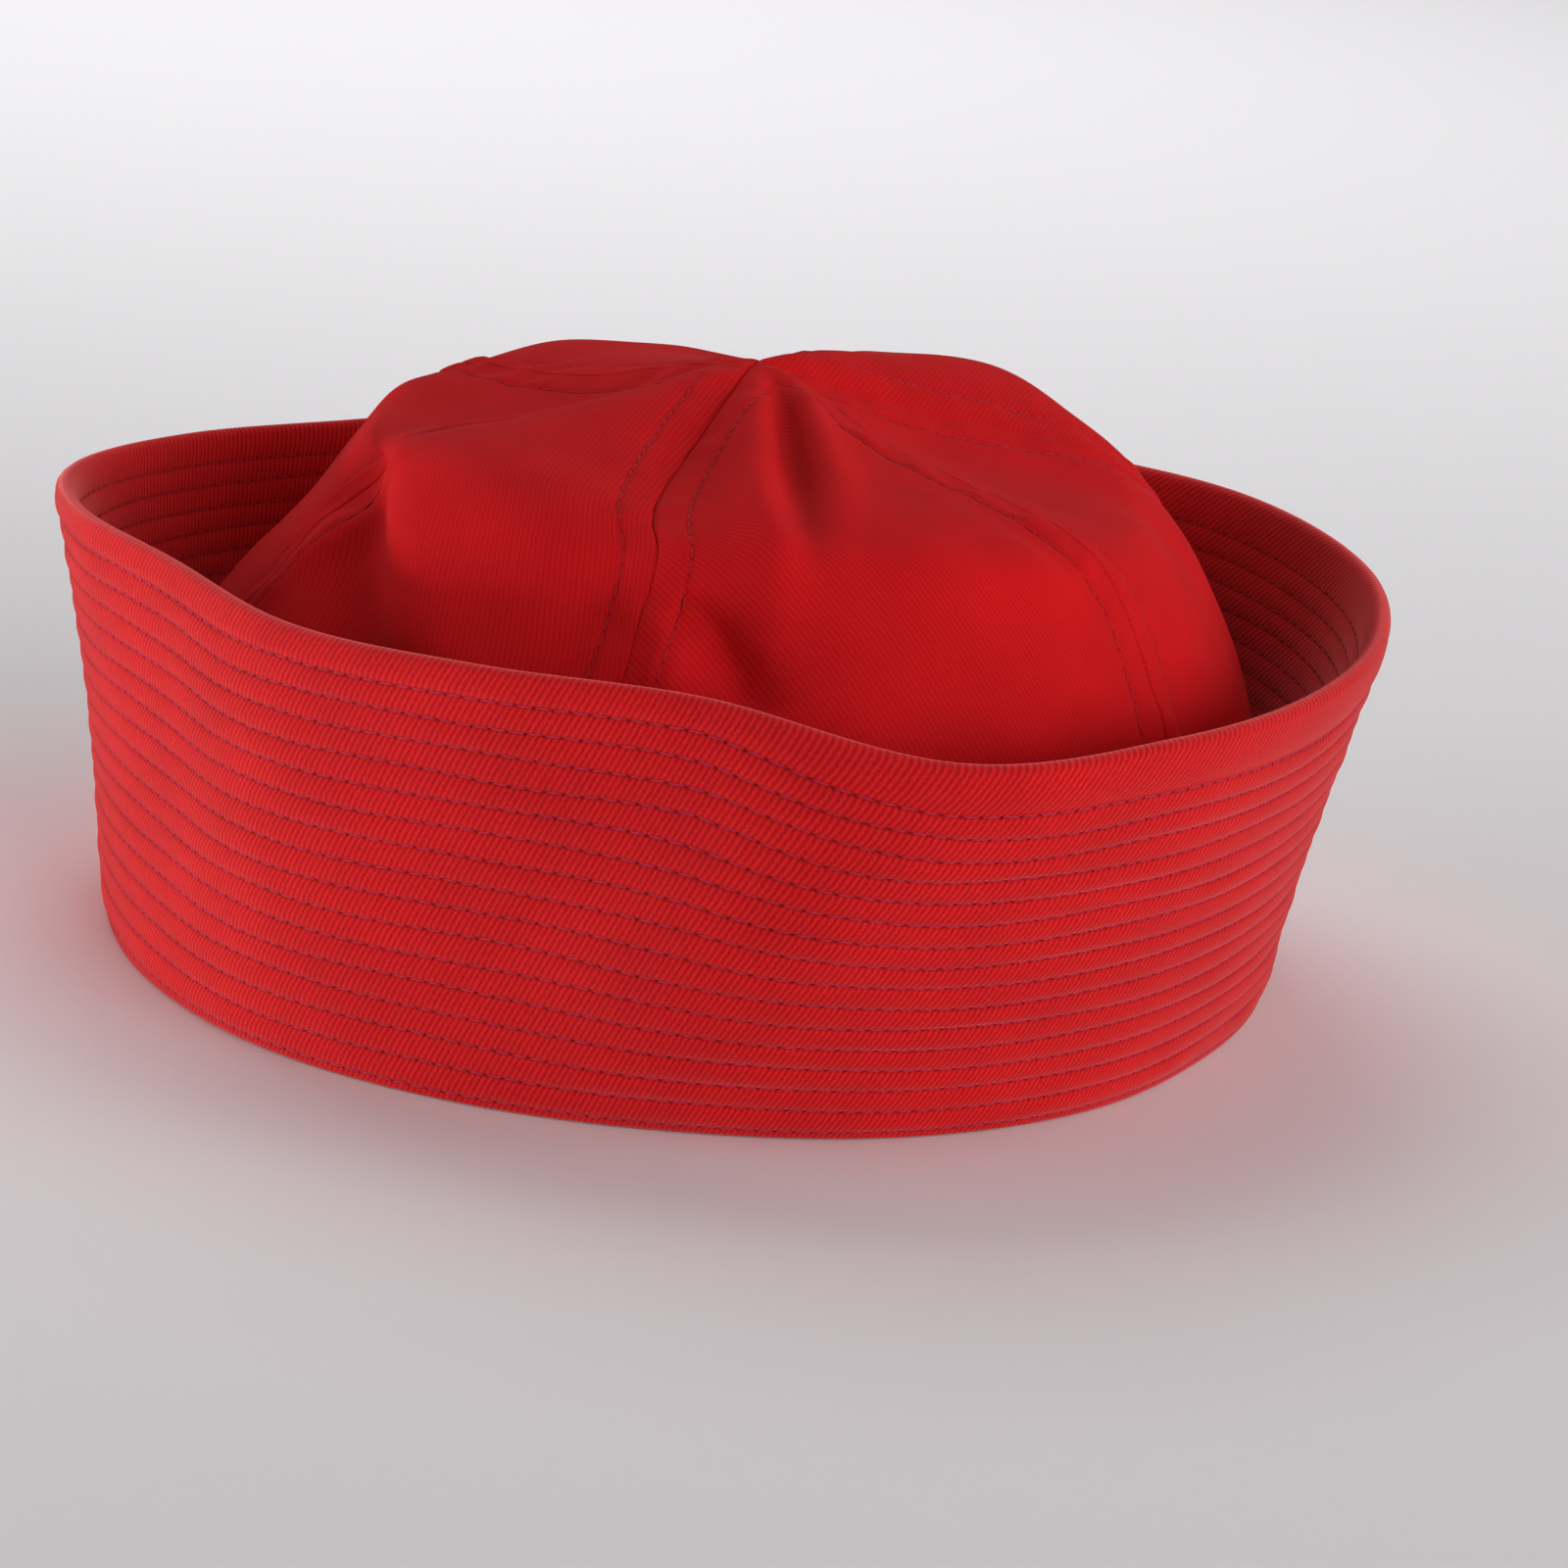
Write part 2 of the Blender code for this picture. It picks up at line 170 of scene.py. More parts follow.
# How far above its usual line the top row of quilting runs, in millimetres.
TopRow = namedtuple("TopRow", "bearing raised")
TOP_ROW = (
    TopRow(-180, 0.3),
    TopRow(-120, 1.0),
    TopRow(-90, 1.4),
    TopRow(-70, 0.6),
    TopRow(-60, 1.5),
    TopRow(-20, 1.5),
    TopRow(-10, -0.5),
    TopRow(0, -1.6),
    TopRow(10, -2.0),
    TopRow(20, -2.2),
    TopRow(40, -2.2),
    TopRow(90, -1.0),
    TopRow(180, 0.3),
)

# ---------------------------------------------------------------- the crown's sections

# height                   of the ring above the surface that the cap stands on
# half_width, half_length  of the ring, at the seams
# shift_x, shift_y         of its middle from the foot's
# puff                     how far the middle of a full gore stands out from its seams
CrownSection = namedtuple("CrownSection", "height half_width half_length shift_x shift_y puff")
CROWN_SECTIONS = (
    CrownSection(0.3, 90.7, 93.5, 0.0, 0.0, 0.0),
    CrownSection(12.0, 90.0, 92.8, 0.2, 0.0, 0.2),
    CrownSection(26.0, 88.5, 91.6, 1.2, 0.0, 0.5),
    CrownSection(41.0, 86.8, 90.0, 3.0, 0.2, 0.9),
    CrownSection(52.0, 82.0, 87.0, 5.0, -0.4, 1.2),
    CrownSection(62.0, 75.5, 81.0, 6.5, -0.9, 1.4),
    CrownSection(71.0, 69.5, 76.5, 6.6, -1.3, 1.6),
    CrownSection(78.5, 62.5, 72.0, 5.2, -1.6, 1.8),
    CrownSection(81.5, 56.5, 61.5, 3.6, -2.0, 2.2),
    CrownSection(83.2, 45.0, 46.5, 3.0, -2.3, 2.4),
    CrownSection(86.2, 29.5, 29.5, 3.3, -2.3, 2.2),
    CrownSection(90.5, 14.0, 14.0, 4.6, -2.1, 1.2),
    CrownSection(94.2, 0.2, 0.2, 4.8, -2.0, 0.0),
)

# The six panels.
# from_bearing, to_bearing   its two seams
# fullness                   its share of the puff, negative where it is pushed in
# rib_angle                  slope of the twill's ribs where the gore's middle line is upright
Gore = namedtuple("Gore", "name from_bearing to_bearing fullness rib_angle")
GORES = (
    Gore("crown_gore_1", -34.5, 31.0, 1.0, 122.0),
    Gore("crown_gore_2", 31.0, 90.0, -1.6, 117.0),
    Gore("crown_gore_3", 90.0, 150.0, 2.6, 112.0),
    Gore("crown_gore_4", 150.0, 210.0, 0.7, 119.0),
    Gore("crown_gore_5", 210.0, 270.0, -1.5, 115.0),
    Gore("crown_gore_6", 270.0, 325.5, 1.8, 113.0),
)

# Folds of the crown, each a ridge, or a valley where its height is below 0.
# low_bearing, low_place     its lower end, as a bearing and a share of the way up the table
# high_bearing, high_place   its upper end
# crest                      share of the way from its lower to its upper end at which it stands out most
# spread                     half of its width, in millimetres
# height                     how far it stands out at its crest
CrownFold = namedtuple("CrownFold", "low_bearing low_place high_bearing high_place crest spread height")
CROWN_FOLDS = (
    CrownFold(-17.5, 0.53, -2.0, 0.99, 0.72, 2.4, -3.0),
    CrownFold(-14.0, 0.53, 10.0, 0.99, 0.68, 3.8, 2.6),
    CrownFold(-20.0, 0.40, -17.0, 0.99, 0.60, 4.5, 3.4),
    CrownFold(-19.0, 0.39, -29.5, 0.54, 0.42, 4.2, -3.8),
    CrownFold(-27.0, 0.34, -34.0, 0.52, 0.50, 4.5, 1.8),
    CrownFold(-41.0, 0.34, -41.0, 0.68, 0.50, 6.0, -2.4),
    CrownFold(-41.0, 0.26, -88.0, 0.70, 0.45, 10.5, 1.8),
    CrownFold(-52.0, 0.22, -102.0, 0.72, 0.40, 11.0, -6.2),
    CrownFold(-88.0, 0.30, -82.0, 0.66, 0.50, 4.0, 1.6),
    CrownFold(62.0, 0.28, 74.0, 0.80, 0.50, 9.0, -1.5),
    CrownFold(26.0, 0.48, 22.0, 0.74, 0.50, 4.5, -1.2),
    CrownFold(96.0, 0.36, 96.0, 0.66, 0.50, 6.0, 0.8),
    CrownFold(116.0, 0.46, 112.0, 0.86, 0.50, 9.0, 0.9),
    CrownFold(118.0, 0.20, 110.0, 0.50, 0.50, 7.0, -0.8),
    CrownFold(128.0, 0.78, 126.0, 0.98, 0.50, 6.0, 0.7),
    CrownFold(142.0, 0.56, 140.0, 0.82, 0.50, 6.0, 0.7),
    CrownFold(150.0, 0.30, 160.0, 0.70, 0.50, 8.0, -2.0),
    CrownFold(190.0, 0.44, 188.0, 0.84, 0.50, 12.0, 1.0),
    CrownFold(230.0, 0.28, 222.0, 0.74, 0.50, 8.0, 1.8),
)


# ---------------------------------------------------------------- reading the tables

def smooth_between(before, start, end, after, part):
    """Value a part of the way from start to end, on a smooth curve through four rows."""
    slope = end - before
    bend = 2.0 * before - 5.0 * start + 4.0 * end - after
    twist = 3.0 * (start - end) + after - before
    return start + 0.5 * part * (slope + part * (bend + part * twist))


def brim_value(column, bearing):
    """A column of the brim's table at any bearings."""
    values = np.array([getattr(row, column) for row in BRIM_SECTIONS])
    place = np.mod(bearing, 360.0) / 360.0 * len(values)
    first = np.floor(place).astype(int)
    near = [values[(first + step) % len(values)] for step in (-1, 0, 1, 2)]
    return smooth_between(*near, place - first)


def crown_value(column, place):
    """A column of the crown's table at places from 0, its lower edge, to 1, its top."""
    values = np.array([getattr(row, column) for row in CROWN_SECTIONS])
    last = len(values) - 1
    first = np.clip(np.floor(place * last).astype(int), 0, last - 1)
    near = [values[np.clip(first + step, 0, last)] for step in (-1, 0, 1, 2)]
    return smooth_between(*near, place * last - first)


def soft_step(value):
    """0 below 0 and 1 above 1, with a smooth change between."""
    share = np.clip(value, 0.0, 1.0)
    return share * share * (3.0 - 2.0 * share)


def turn_between(bearing, other):
    """Degrees from one bearing to another, between -180 and 180."""
    return np.mod(bearing - other + 180.0, 360.0) - 180.0


def hump(distance, spread):
    """1 at no distance, falling smoothly to nothing past the spread."""
    return np.exp(-(distance / spread) ** 2)


def crumple(point, seed, shortest, longest):
    """Smooth random wave of about -1 to 1 through space, with wavelengths between two lengths."""
    draw = np.random.default_rng(seed)
    total = np.zeros(point.shape[:-1])
    for _ in range(9):
        heading = draw.normal(size=3)
        heading *= 2.0 * pi / draw.uniform(shortest, longest) / np.linalg.norm(heading)
        total += draw.uniform(0.15, 0.45) * np.sin(point @ heading + draw.uniform(0.0, 2.0 * pi))
    return total


def waver(bearing, seed, slowest, fastest):
    """Smooth random wave of about -1 to 1 that closes on itself round the cap."""
    draw = np.random.default_rng(seed)
    angle = np.radians(bearing)
    total = np.zeros_like(angle)
    for _ in range(5):
        turns = draw.integers(slowest, fastest, endpoint=True)
        total += draw.uniform(0.25, 0.6) * np.sin(turns * angle + draw.uniform(0.0, 2.0 * pi))
    return total


# ---------------------------------------------------------------- the brim's form

def foot_ring(bearing):
    """Points of the foot's ellipse at bearings, and the level directions out of it."""
    angle = np.radians(bearing)
    level = np.zeros_like(angle)
    point = np.stack([FOOT_HALF_WIDTH * np.sin(angle), -FOOT_HALF_LENGTH * np.cos(angle), level], axis=-1)
    outward = np.stack([np.sin(angle) / FOOT_HALF_WIDTH, -np.cos(angle) / FOOT_HALF_LENGTH, level], axis=-1)
    return point + FOOT_MIDDLE, outward / np.linalg.norm(outward, axis=-1, keepdims=True)


def brim_bow(bearing, rise):
    """How far the brim bows outwards between its foot and its edge, in millimetres."""
    bow = brim_value("belly", bearing)
    for fold in BRIM_FOLDS:
        middle = fold.foot_bearing + rise * (fold.edge_bearing - fold.foot_bearing)
        spread = fold.foot_spread + rise * (fold.edge_spread - fold.foot_spread)
        bow = bow + fold.bulge * hump(turn_between(bearing, middle), spread)
    return bow * np.sin(pi * np.clip(rise, 0.0, 1.0))


def brim_point(bearing, rise, depth):
    """Points of the brim: rise is 0 at its foot and 1 at its edge, depth goes in from its outer face."""
    point, outward = foot_ring(bearing)
    lean = np.radians(brim_value("lean", bearing))
    slope = brim_value("slant", bearing) * rise * MM
    reach = (brim_value("foot_out", bearing) + brim_bow(bearing, rise)) * MM + slope * np.sin(lean)
    tilt = lean * soft_step(rise / FOOT_BLEND)
    point = point + outward * (reach - depth * np.cos(tilt))[..., None]
    point[..., 2] += slope * np.cos(lean) + depth * np.sin(tilt)
    return point


def brim_rise(bearing, row):
    """Rise of a line of the quilting: row 0 is the foot, 1 to 16 are stitched, at 17 the edge rolls."""
    high = 1.0 - BRIM_WALL / 2.0 / BRIM_SLANT
    stops = [stop.bearing for stop in TOP_ROW]
    raised = np.interp(turn_between(bearing, 0.0), stops, [stop.raised for stop in TOP_ROW])
    top = TOP_ROW_RISE + raised * MM / BRIM_SLANT
    quilted = FIRST_ROW_RISE + (top - FIRST_ROW_RISE) * (row - 1.0) / (STITCH_ROWS - 1.0)
    rim = top + (high - top) * (row - STITCH_ROWS)
    rolled = high + (row - STITCH_ROWS - 1.0)
    rise = np.select([row < 1.0, row < STITCH_ROWS, row < STITCH_ROWS + 1.0],
                     [FIRST_ROW_RISE * row, quilted, rim], rolled)
    stray = np.zeros_like(rise)
    for line in range(2, STITCH_ROWS + 1):
        stray += waver(bearing, ROW_SEED + line, *ROW_WAVES) * np.clip(1.0 - np.abs(row - line), 0.0, 1.0)
    return rise + stray * ROW_WANDER / BRIM_SLANT


def quilting(bearing, row):
    """How far the quilted cloth stands out from the plain face of the brim."""
    channel = np.floor(row)
    across = row - channel
    fullness = np.ones_like(row)
    for line in range(1, STITCH_ROWS):
        uneven = CHANNEL_UNEVEN * waver(bearing, CHANNEL_SEED + line, *CHANNEL_WAVES)
        fullness += np.where(channel == line, uneven, 0.0)
    puff = CHANNEL_PUFF * fullness * np.abs(np.sin(pi * across)) ** CHANNEL_ROUND - CREASE_DEPTH
    fold = -CREASE_DEPTH * soft_step(row)
    rim = RIM_PUFF * np.sin(pi * across) ** RIM_ROUND - CREASE_DEPTH * (1.0 - soft_step(across * 2.0))
    return np.select([row < 1.0, row < STITCH_ROWS, row < STITCH_ROWS + 1.0], [fold, puff, rim], 0.0)


def brim_cloth(bearing, row, depth):
    """Points of the quilted brim, where depth is 0 on its outer face and BRIM_WALL on its inner one."""
    side = 1.0 - 2.0 * depth / BRIM_WALL
    face = np.where(side < 0.0, -LINING_PUFF, 1.0)
    stand = quilting(bearing, row) * face * np.minimum(np.abs(side) * 4.0, 1.0)
    return brim_point(bearing, brim_rise(bearing, row), depth - stand)


# ---------------------------------------------------------------- the crown's form

def crown_ring(bearing, place):
    """Points of the crown's plain form, through the seams."""
    angle = np.radians(bearing)
    outward = foot_ring(bearing)[1]
    foot_share = 1.0 - soft_step(crown_value("height", place) / LOW_CROWN)
    x = crown_value("shift_x", place) + crown_value("half_width", place) * np.sin(angle)
    y = crown_value("shift_y", place) - crown_value("half_length", place) * np.cos(angle)
    ring = np.stack([x, y, crown_value("height", place)], axis=-1) * MM + FOOT_MIDDLE
    return ring + outward * (brim_value("foot_out", bearing) * foot_share * MM)[..., None]


def crown_outward(bearing, place):
    """Directions square to the crown's plain form."""
    turn = 1.0
    climb = 0.01
    low, high = np.maximum(place - climb, 0.0), np.minimum(place + climb, 1.0)
    across = crown_ring(bearing + turn, place) - crown_ring(bearing - turn, place)
    along = crown_ring(bearing, high) - crown_ring(bearing, low)
    square = np.cross(across, along)
    return square / np.linalg.norm(square, axis=-1, keepdims=True)


def crown_radius(place):
    """Usual radius of the crown's ring at a place."""
    return (crown_value("half_width", place) + crown_value("half_length", place)) / 2.0 * MM


def half_arc_of(gore, place):
    """Half of a gore's width at a place, along its ring."""
    return crown_radius(place) * radians(gore.to_bearing - gore.from_bearing) / 2.0


def crown_fold_rise(bearing, place):
    """How far the crown's folds lift the cloth."""
    rise = np.zeros_like(place)
    for fold in CROWN_FOLDS:
        along = np.clip((place - fold.low_place) / (fold.high_place - fold.low_place), 0.0, 1.0)
        middle = fold.low_bearing + along * (fold.high_bearing - fold.low_bearing)
        offset = crown_radius(place) * np.radians(turn_between(bearing, middle))
        swell = np.sin(pi * along ** (log(0.5) / log(fold.crest)))
        rise = rise + fold.height * swell * hump(offset, fold.spread * MM)
    return rise * MM


def seam_relief(gore, share, place):
    """How far a seam's turned-in edge, groove and topstitching lift the cloth."""
    half_arc = half_arc_of(gore, place)
    from_seam = half_arc * (1.0 - np.abs(share))
    past_band = (from_seam - SEAM_BAND) / (SEAM_BAND_END * SEAM_BAND) + 0.5
    band = SEAM_BAND_RISE * (1.0 - soft_step(past_band))
    stitched = TOPSTITCH_DEPTH * hump(from_seam - SEAM_BAND, TOPSTITCH_HALF_WIDTH)
    stitched = stitched * soft_step((half_arc - SEAM_BAND) / SEAM_BAND)
    groove = SEAM_DEPTH * hump(from_seam, SEAM_HALF_WIDTH)
    point = crown_ring(gore_bearing(gore, share, place), place)
    middle = PUCKER_MIDDLE * SEAM_BAND
    pucker = SEAM_PUCKER * crumple(point, PUCKER_SEED, *PUCKER_LENGTHS) * hump(from_seam - middle, middle)
    return (band - stitched - groove + pucker) * soft_step(crown_value("height", place) / LOW_CROWN)


def gore_bearing(gore, share, place):
    """Bearing at a share, from -1 to 1, of the way across a gore."""
    half_span = (gore.to_bearing - gore.from_bearing) / 2.0
    return gore.from_bearing + half_span * (1.0 + share * (1.0 - SEAM_GAP / 2.0 / half_arc_of(gore, place)))


def crown_lift(gore, share, place):
    """How far the cloth of a gore stands out from the crown's plain form."""
    bearing = gore_bearing(gore, share, place)
    puff = gore.fullness * crown_value("puff", place) * MM * (1.0 - share * share)
    uneven = CRUMPLE * crumple(crown_ring(bearing, place), CRUMPLE_SEED, *CRUMPLE_LENGTHS)
    return puff + crown_fold_rise(bearing, place) + uneven


def gore_point(gore, share, place, depth):
    """Points of a gore's cloth, where depth goes in from its outer face."""
    bearing = gore_bearing(gore, share, place)
    outer = np.clip(1.0 - depth / CROWN_WALL, 0.0, 1.0)
    lift = crown_lift(gore, share, place) + seam_relief(gore, share, place) * outer - depth
    return crown_ring(bearing, place) + crown_outward(bearing, place) * lift[..., None]


# ---------------------------------------------------------------- meshes and their cloth

def points_of(mesh):
    """Places of a mesh's points, as an array."""
    flat = np.zeros(len(mesh.vertices) * 3)
    mesh.vertices.foreach_get("co", flat)
    return flat.reshape(-1, 3)


def corners_of(mesh):
    """Numbers of the points at the corners of a mesh's faces."""
    corners = np.zeros(len(mesh.loops), dtype=np.int32)
    mesh.loops.foreach_get("vertex_index", corners)
    return corners


def add_map(mesh, name, across, along):
    """Lays a flat map on a mesh, from a value across and one along for each corner."""
    layer = mesh.uv_layers.new(name=name)
    layer.data.foreach_set("uv", np.stack([across, along], axis=-1).ravel())


def add_piece(name, mesh, material, node):
    """Makes an object of a mesh, which rides on the part and stands for one of its solids."""
    mesh.materials.append(material)
    mesh.shade_smooth()
    piece = bpy.data.objects.new(name, mesh)
    bpy.context.scene.collection.objects.link(piece)
    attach(piece, "root")
    if node:
        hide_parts(node)
    return piece


# ---------------------------------------------------------------- brim

def channel_lines(steps):
    """Lines of the mesh from the lowest row of stitches to the top one, closer together at each row."""
    ease = [(1.0 - cos(pi * step / steps)) / 2.0 for step in range(steps)]
    return [row + share for row in range(1, STITCH_ROWS) for share in ease]


def brim_outline():
    """Outline of the brim's wall as (row, depth): up the outside, over the edge, down the inside."""
    low = FOLD_ROUND / BRIM_SLANT / FIRST_ROW_RISE
    radius = BRIM_WALL / 2.0
    rim = [STITCH_ROWS + step / RIM_STEPS for step in range(RIM_STEPS)]
    outline = [(0.0, FOLD_ROUND), (low * 0.3, FOLD_ROUND * 0.3), (low, 0.0)]
    outline += [(row, 0.0) for row in channel_lines(CHANNEL_STEPS) + rim]
    for step in range(EDGE_STEPS + 1):
        angle = pi * step / EDGE_STEPS
        rolled = STITCH_ROWS + 1.0 + radius * sin(angle) / BRIM_SLANT
        outline.append((rolled, radius - radius * cos(angle)))
    outline += [(row, BRIM_WALL) for row in reversed(channel_lines(LINING_STEPS) + rim)]
    outline.append((0.0, BRIM_WALL))
    return outline


def brim_arc(bearing):
    """Distance round the brim from the front, half way up."""
    stops = np.linspace(-180.0, 180.0, 721)
    line = brim_point(stops, np.full_like(stops, 0.5), np.zeros_like(stops))
    steps = np.linalg.norm(np.diff(line, axis=0), axis=-1)
    total = np.concatenate([[0.0], np.cumsum(steps)])
    return np.interp(bearing, stops, total - total[len(total) // 2])


def row_phase(row):
    """Shift of a row's first stitch from the front, as a share of a stitch, unlike its neighbours'."""
    return np.mod(row * ROW_SHIFT, 1.0)


def map_brim(mesh, bearing, row, depth):
    """The cloth's flat cut in millimetres, and the stitches: their number and distance from the row."""
    corners = corners_of(mesh).reshape(-1, 4)
    turned = bearing[corners]
    turned = turned[:, :1] + turn_between(turned, turned[:, :1])
    turned -= 360.0 * np.round(turned.mean(axis=1, keepdims=True) / 360.0)
    rise = brim_rise(bearing, row)
    up = np.where(depth > BRIM_WALL / 2.0, 2.0 - rise, rise) * BRIM_SLANT
    arc = brim_arc(turned)
    radius = BRIM_CUT_RADIUS - up[corners]
    add_map(mesh, "cloth", (radius * np.sin(arc / BRIM_CUT_RADIUS)).ravel() / MM,
            (BRIM_CUT_RADIUS - radius * np.cos(arc / BRIM_CUT_RADIUS)).ravel() / MM)

    nearest = np.clip(np.round(row[corners].mean(axis=1, keepdims=True)), 1, STITCH_ROWS)
    line_rise = brim_rise(turned, nearest + np.zeros_like(turned))
    off_line = (rise[corners] - line_rise) * BRIM_SLANT
    stitches = turned / 360.0 * STITCHES_ROUND + row_phase(nearest)
    add_map(mesh, "stitches", stitches.ravel(), off_line.ravel() / MM)


def brim_mesh():
    """The wall's outline turned once round the cap, then each point put where its cloth lies."""
    shape = bmesh.new()
    points = [shape.verts.new((1.0 - depth, 0.0, row)) for row, depth in brim_outline()]
    edges = [shape.edges.new((points[i - 1], points[i])) for i in range(len(points))]
    bmesh.ops.spin(shape, geom=points + edges, cent=(0.0, 0.0, 0.0), axis=(0.0, 0.0, 1.0),
                   angle=2.0 * pi, steps=BRIM_STEPS, use_merge=True)
    bmesh.ops.recalc_face_normals(shape, faces=shape.faces)
    mesh = bpy.data.meshes.new("brim_cloth")
    shape.to_mesh(mesh)
    shape.free()
    place = points_of(mesh)
    bearing = np.degrees(np.arctan2(place[:, 1], place[:, 0]))
    depth = 1.0 - np.hypot(place[:, 0], place[:, 1])
    row = place[:, 2]
    mesh.vertices.foreach_set("co", brim_cloth(bearing, row, depth).ravel())
    map_brim(mesh, bearing, row, depth)
    return mesh


# ---------------------------------------------------------------- gores

def gore_share(column):
    """Where a column of the grid lies between the seams, closer together at the seams."""
    return column * (1.0 + GORE_CROWDING - GORE_CROWDING * column * column)


def way_down(gore, place):
    """Distance along a gore's middle line from its top down to a place."""
    stops = np.linspace(0.0, 1.0, 201)
    line = crown_ring(np.full_like(stops, (gore.from_bearing + gore.to_bearing) / 2.0), stops)
    steps = np.linalg.norm(np.diff(line, axis=0), axis=-1)
    total = np.concatenate([[0.0], np.cumsum(steps)])
    return np.interp(place, stops, total[-1] - total)


def map_gore(mesh, gore, share, place):
    """The gore's flat cut in millimetres, and its stitches: their number and distance from the line."""
    corners = corners_of(mesh)
    down = np.maximum(way_down(gore, place), 1e-5)
    half_arc = half_arc_of(gore, place)
    swing = half_arc * share / down
    add_map(mesh, "cloth", (down * np.sin(swing))[corners] / MM, (-down * np.cos(swing))[corners] / MM)

    off_line = half_arc * (1.0 - np.abs(share)) - SEAM_BAND
    side = np.sign(share)
    stitches = down / TOPSTITCH_LENGTH + TOPSTITCH_SHIFT * side
    add_map(mesh, "stitches", stitches[corners], off_line[corners] / MM)


def gore_mesh(gore):
    """A flat grid of cloth with its inner face, laid over a sixth of the crown."""
    shape = bmesh.new()
    bmesh.ops.create_grid(shape, x_segments=GORE_COLUMNS, y_segments=GORE_ROWS, size=1.0)
    made = bmesh.ops.extrude_face_region(shape, geom=shape.faces[:], use_keep_orig=True)
    upper = [part for part in made["geom"] if isinstance(part, bmesh.types.BMVert)]
    bmesh.ops.translate(shape, verts=upper, vec=(0.0, 0.0, 1.0))
    bmesh.ops.recalc_face_normals(shape, faces=shape.faces)
    mesh = bpy.data.meshes.new(f"{gore.name}_cloth")
    shape.to_mesh(mesh)
    shape.free()
    grid = points_of(mesh)
    share = gore_share(grid[:, 0])
    place = (grid[:, 1] + 1.0) / 2.0
    depth = (1.0 - grid[:, 2]) * CROWN_WALL
    mesh.vertices.foreach_set("co", gore_point(gore, share, place, depth).ravel())
    map_gore(mesh, gore, share, place)
    return mesh


# ---------------------------------------------------------------- stitches

# Rings of one stitch, in order along it.
# along    where the ring stands, as a share of the stitch's length from its middle
# girth    its width, as a share of the thread's
# height   of its middle over the cloth, as a share of half of the thread's width
StitchRing = namedtuple("StitchRing", "along girth height")
STITCH_RINGS = (
    StitchRing(-0.50, 0.35, -0.90),
    StitchRing(-0.36, 0.95, -0.15),
    StitchRing(0.00, 1.00, 0.10),
    StitchRing(0.36, 0.95, -0.15),
    StitchRing(0.50, 0.35, -0.90),
)


def stitch_mesh():
    """One stitch along X, a short length of thread whose ends dip into the cloth."""
    shape = bmesh.new()
    bmesh.ops.create_cone(shape, cap_ends=True, segments=STITCH_SIDES, radius1=1.0, radius2=1.0, depth=1.0,
                          matrix=Euler((0.0, pi / 2.0, 0.0)).to_matrix().to_4x4())
    long_edges = [edge for edge in shape.edges if abs(edge.verts[0].co.x - edge.verts[1].co.x) > 0.5]
    bmesh.ops.subdivide_edges(shape, edges=long_edges, cuts=len(STITCH_RINGS) - 2)
    places = sorted({round(point.co.x, 4) for point in shape.verts})
    for point in shape.verts:
        ring = STITCH_RINGS[places.index(round(point.co.x, 4))]
        across = point.co.y * ring.girth * THREAD / 2.0
        upward = (point.co.z * ring.girth + ring.height) * THREAD / 2.0
        point.co = Vector((ring.along, across, upward))
    mesh = bpy.data.meshes.new("stitch")
    shape.to_mesh(mesh)
    shape.free()
    return mesh


def sewn(name, stitch, starts, ends, outward, draw):
    """A mesh with a copy of the stitch between each start and its end."""
    shape = bmesh.new()
    for start, end, out in zip(starts, ends, outward):
        along = Vector(end - start)
        x = along.normalized()
        y = Vector(out).cross(x).normalized()
        z = x.cross(y)
        laid = Matrix((x, y, z)).transposed()
        slant = Matrix.Rotation(radians(draw.normal(0.0, STITCH_SLANT)), 3, "Z")
        length = Matrix.Diagonal((along.length * draw.uniform(*STITCH_REACH), 1.0, 1.0))
        middle = Matrix.Translation(Vector((start + end) / 2.0))
        copy = stitch.copy()
        copy.transform(middle @ (laid @ slant @ length).to_4x4())
        shape.from_mesh(copy)
        bpy.data.meshes.remove(copy)
    mesh = bpy.data.meshes.new(name)
    shape.to_mesh(mesh)
    shape.free()
    return mesh


def brim_stitches(name, stitch, depth, seed):
    """The rows of quilting on one face of the brim."""
    draw = np.random.default_rng(seed)
    starts, ends, outward = [], [], []
    side = 1.0 if depth == 0.0 else -1.0
    sunk = -side * THREAD * ROWS_SUNK
    for row in range(1, STITCH_ROWS + 1):
        number = np.arange(STITCHES_ROUND + 1) - row_phase(row)
        bearing = number / STITCHES_ROUND * 360.0
        rows = np.full_like(bearing, row)
        out = foot_ring(bearing)[1]
        line = brim_cloth(bearing, rows, np.full_like(bearing, depth)) + out * sunk
        starts.append(line[:-1])
        ends.append(line[1:])
        outward.append(side * (out[:-1] + out[1:]) / 2.0)
    return sewn(name, stitch, np.concatenate(starts), np.concatenate(ends), np.concatenate(outward), draw)


